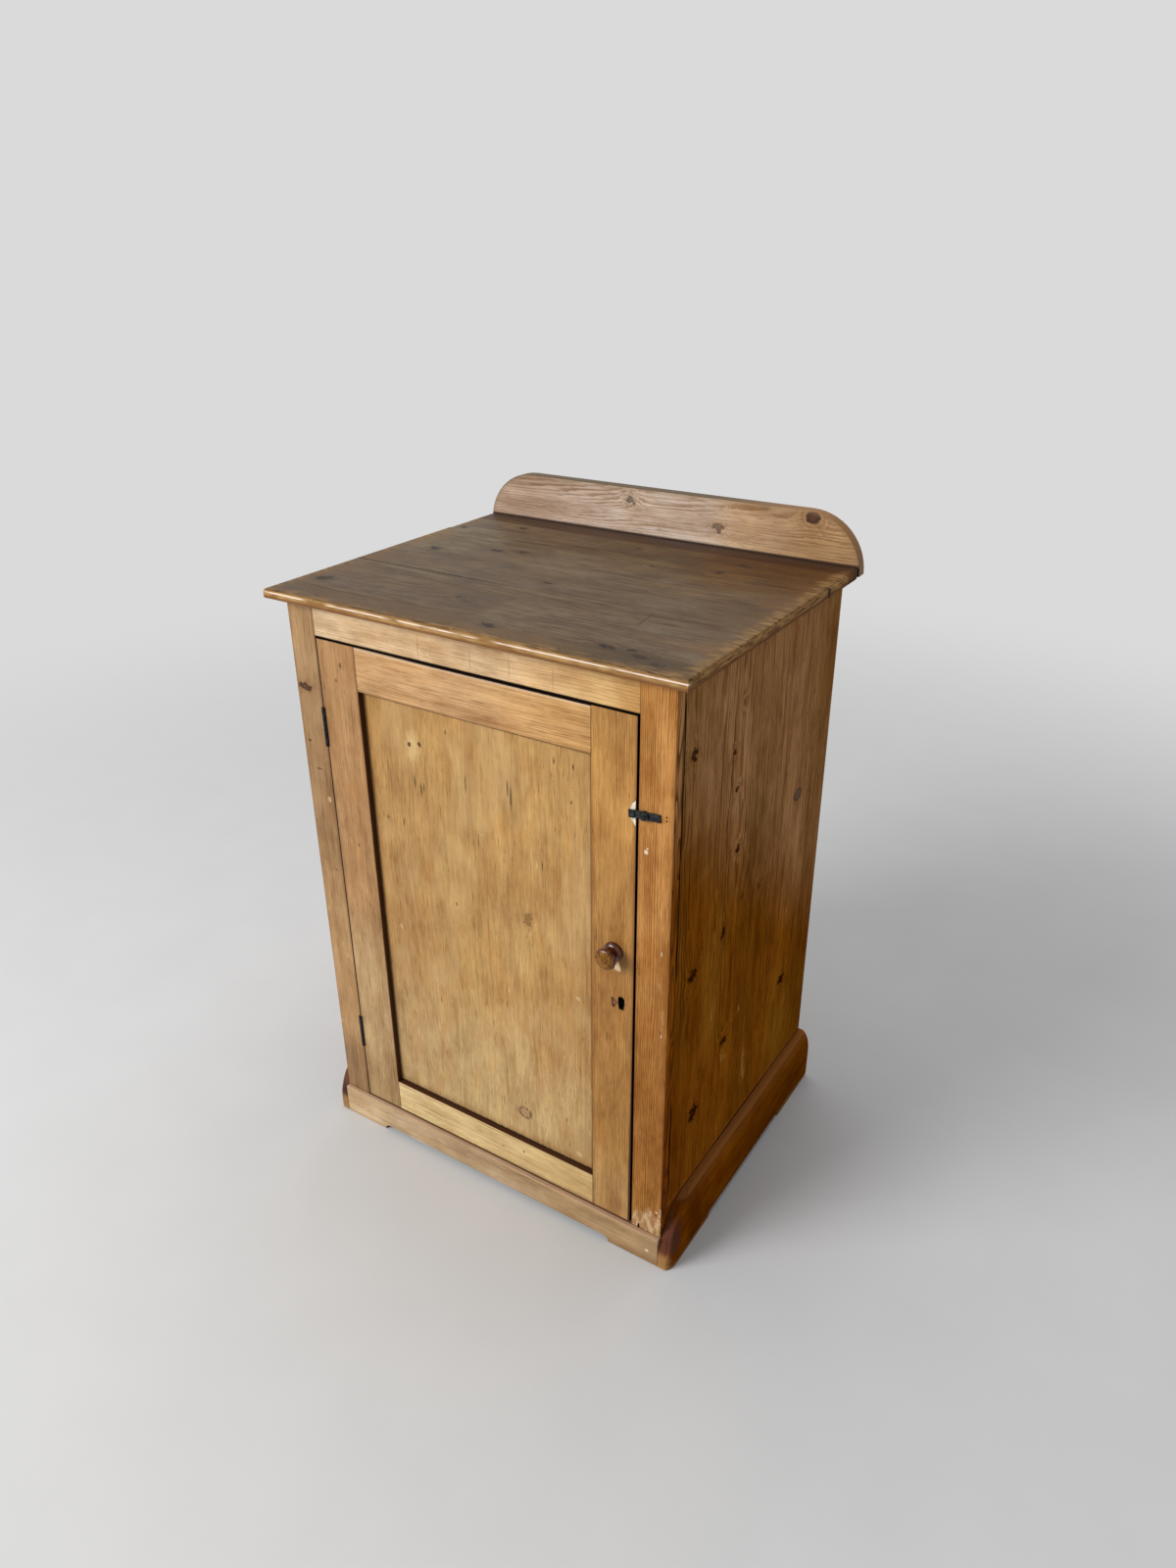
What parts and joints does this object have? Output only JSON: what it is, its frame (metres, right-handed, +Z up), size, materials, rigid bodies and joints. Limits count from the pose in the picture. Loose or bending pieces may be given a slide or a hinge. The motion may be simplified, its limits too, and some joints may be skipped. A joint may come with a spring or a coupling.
{
  "type": "cupboard",
  "caption": "Small floor-standing pine cupboard with a panelled door, turned knob, turn button, lock, shelves, bracket plinth and an upstand with rounded corners.",
  "frame": {"origin": "on the floor, under the middle of the whole cupboard with its knob and upstand", "axes": "+Z up, -Y is the door side, +X is to the right of someone who faces the door"},
  "size_m": [0.747, 0.6238, 1.142],
  "materials": {
    "front_pine": "old waxed pine, golden",
    "side_pine": "old waxed pine, darker brown",
    "top_pine": "old waxed pine, grey brown and worn",
    "inside_pine": "bare pine, dry",
    "knob_wood": "dark polished wood",
    "black_iron": "blackened iron",
    "lock_steel": "dull old steel"
  },
  "bodies": {
    "carcase": {"side_left": "side_pine", "side_right": "side_pine", "stile_left": "front_pine", "stile_right": "front_pine", "head_rail": "front_pine", "top_board_front": "top_pine", "top_board_middle": "top_pine", "top_board_back": "top_pine", "upstand": "front_pine", "plinth_front": "front_pine", "plinth_left": "side_pine", "plinth_right": "side_pine", "bottom_board": "inside_pine", "bottom_cleat_left": "inside_pine", "bottom_cleat_right": "inside_pine", "shelf_lower": "inside_pine", "shelf_upper": "inside_pine", "shelf_cleat_lower_left": "inside_pine", "shelf_cleat_lower_right": "inside_pine", "shelf_cleat_upper_left": "inside_pine", "shelf_cleat_upper_right": "inside_pine", "glue_block_left": "inside_pine", "glue_block_right": "inside_pine", "back_board_1": "inside_pine", "back_board_2": "inside_pine", "back_board_3": "inside_pine", "back_board_4": "inside_pine", "back_board_5": "inside_pine", "back_rail": "inside_pine", "door_stop": "inside_pine", "hinge_upper_frame_leaf": "black_iron", "hinge_upper_frame_screw_1": "black_iron", "hinge_upper_frame_screw_2": "black_iron", "hinge_upper_pin": "black_iron", "hinge_lower_frame_leaf": "black_iron", "hinge_lower_frame_screw_1": "black_iron", "hinge_lower_frame_screw_2": "black_iron", "hinge_lower_pin": "black_iron", "turn_button_screw": "black_iron"},
    "door": {"door_stile_hinge": "front_pine", "door_stile_lock": "front_pine", "door_rail_top": "front_pine", "door_rail_bottom": "front_pine", "door_panel": "front_pine", "knob": "knob_wood", "hinge_upper_door_leaf": "black_iron", "hinge_upper_door_screw_1": "black_iron", "hinge_upper_door_screw_2": "black_iron", "hinge_lower_door_leaf": "black_iron", "hinge_lower_door_screw_1": "black_iron", "hinge_lower_door_screw_2": "black_iron", "lock_case": "lock_steel", "lock_screw_1": "lock_steel", "lock_screw_2": "lock_steel", "lock_screw_3": "lock_steel", "lock_screw_4": "lock_steel"},
    "turn_button": {"turn_button": "black_iron"},
    "lock_bolt": {"lock_bolt": "lock_steel"}
  },
  "joints": [
    {"name": "door_hinge", "type": "hinge", "parent": "carcase", "child": "door", "pos_m": [-0.294, -0.2809, 0.5], "axis": [0, 0, -1], "range_deg": [0, 170]},
    {"name": "turn_button_pivot", "type": "hinge", "parent": "carcase", "child": "turn_button", "pos_m": [0.3035, -0.2825, 0.8435], "axis": [0, -1, 0], "continuous": true},
    {"name": "lock_bolt_slide", "type": "slide", "parent": "door", "child": "lock_bolt", "axis": [1, 0, 0], "range_m": [0, 0.009]}
  ]
}
